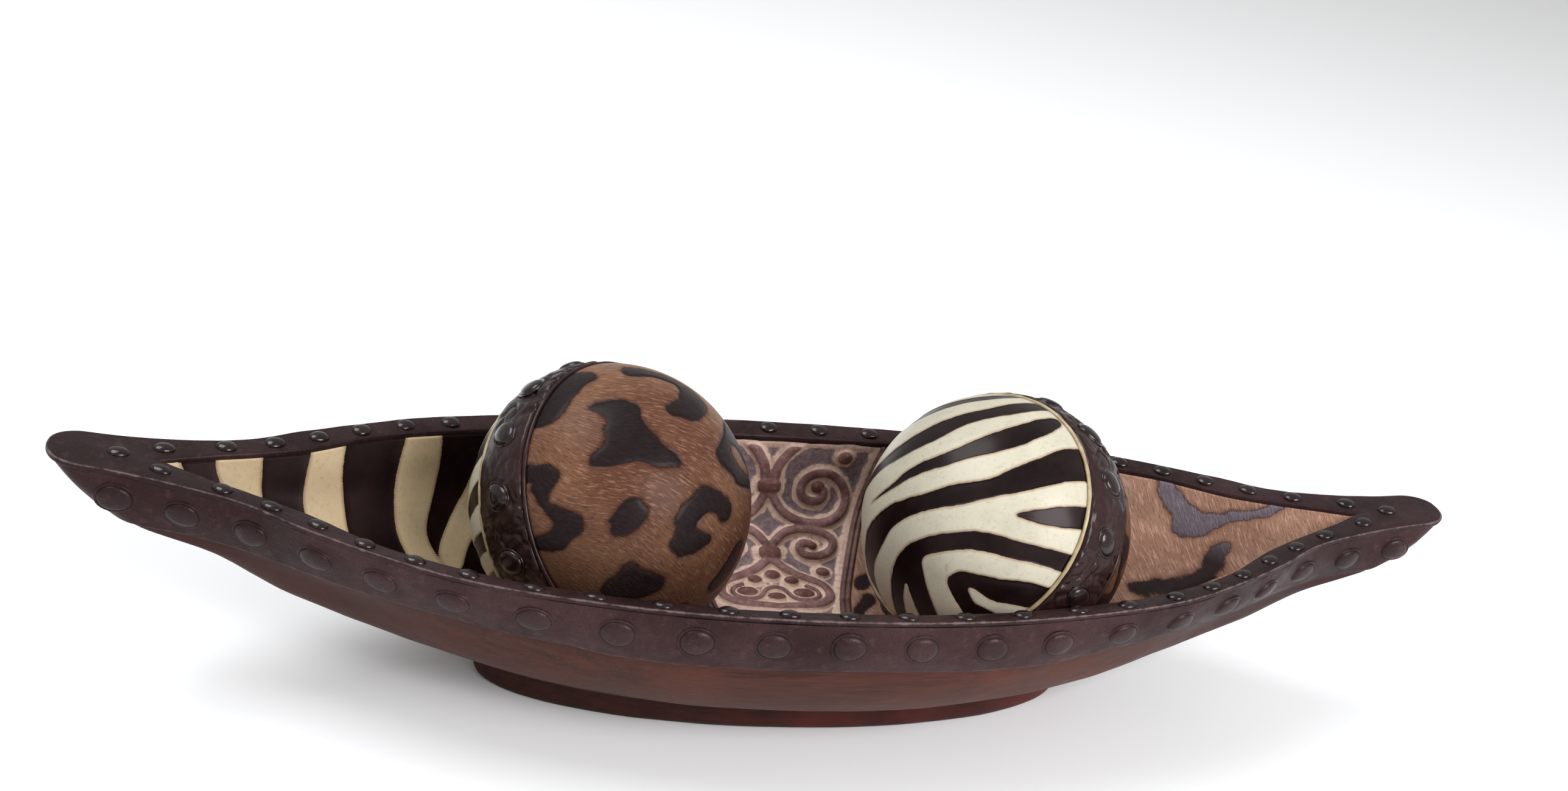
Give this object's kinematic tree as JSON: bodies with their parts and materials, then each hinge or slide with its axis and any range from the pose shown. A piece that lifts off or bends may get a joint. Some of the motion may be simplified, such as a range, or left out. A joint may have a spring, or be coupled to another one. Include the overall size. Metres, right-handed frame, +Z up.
{
  "type": "decorative bowl",
  "caption": "Boat-shaped centrepiece bowl with studded leather rim, animal-hide linings and a carved panel, holding two lift-out decorative orbs.",
  "frame": {"origin": "middle of the foot's underside, on the table", "axes": "+X along the bowl towards the leopard end, +Y across it away from the viewer, +Z up"},
  "size_m": [0.518, 0.15, 0.1196],
  "materials": {
    "hull_wood": "red-brown stained wood, satin, brushed along the bowl",
    "foot_wood": "darker red-brown stained wood, satin",
    "rim_leather": "very dark brown leather with a maroon tint, low gloss",
    "stud_gloss": "glossy near-black domes",
    "zebra_hide": "cream and black-brown stripes with incised edges, satin",
    "leopard_hide": "tan-brown engraved fur with dark spots, satin",
    "carved_wood": "tan carved panel with grey-purple wash, matt",
    "divider_wood": "dark reeded moulding, satin",
    "orb_leather": "pebbled dark brown leather, semi-gloss",
    "cream_trim": "cream edge piping, satin",
    "orb_core": "plain, hidden inside the orb"
  },
  "bodies": {
    "bowl": {"hull": "hull_wood", "foot": "foot_wood", "rim_cap": "rim_leather", "rim_band": "rim_leather", "zebra_lining": "zebra_hide", "leopard_lining": "leopard_hide", "scroll_panel": "carved_wood", "divider_left": "divider_wood", "divider_right": "divider_wood", "rim_studs_front": "stud_gloss", "rim_studs_back": "stud_gloss", "tip_studs": "stud_gloss", "band_studs_front": "stud_gloss", "band_studs_back": "stud_gloss"},
    "left_orb": {"left_core": "orb_core", "left_zebra_cap": "zebra_hide", "left_zebra_piping": "cream_trim", "left_band": "orb_leather", "left_leopard_piping": "orb_leather", "left_leopard_cap": "leopard_hide", "left_orb_studs": "stud_gloss"},
    "right_orb": {"right_core": "orb_core", "right_zebra_cap": "zebra_hide", "right_zebra_piping": "cream_trim", "right_band": "orb_leather", "right_leopard_piping": "orb_leather", "right_leopard_cap": "leopard_hide", "right_orb_studs": "stud_gloss"}
  },
  "joints": [
    {"name": "left_orb_lift", "type": "slide", "parent": "bowl", "child": "left_orb", "axis": [0, 0, 1], "range_m": [0, 0.11]},
    {"name": "right_orb_lift", "type": "slide", "parent": "bowl", "child": "right_orb", "axis": [0, 0, 1], "range_m": [0, 0.11]}
  ]
}
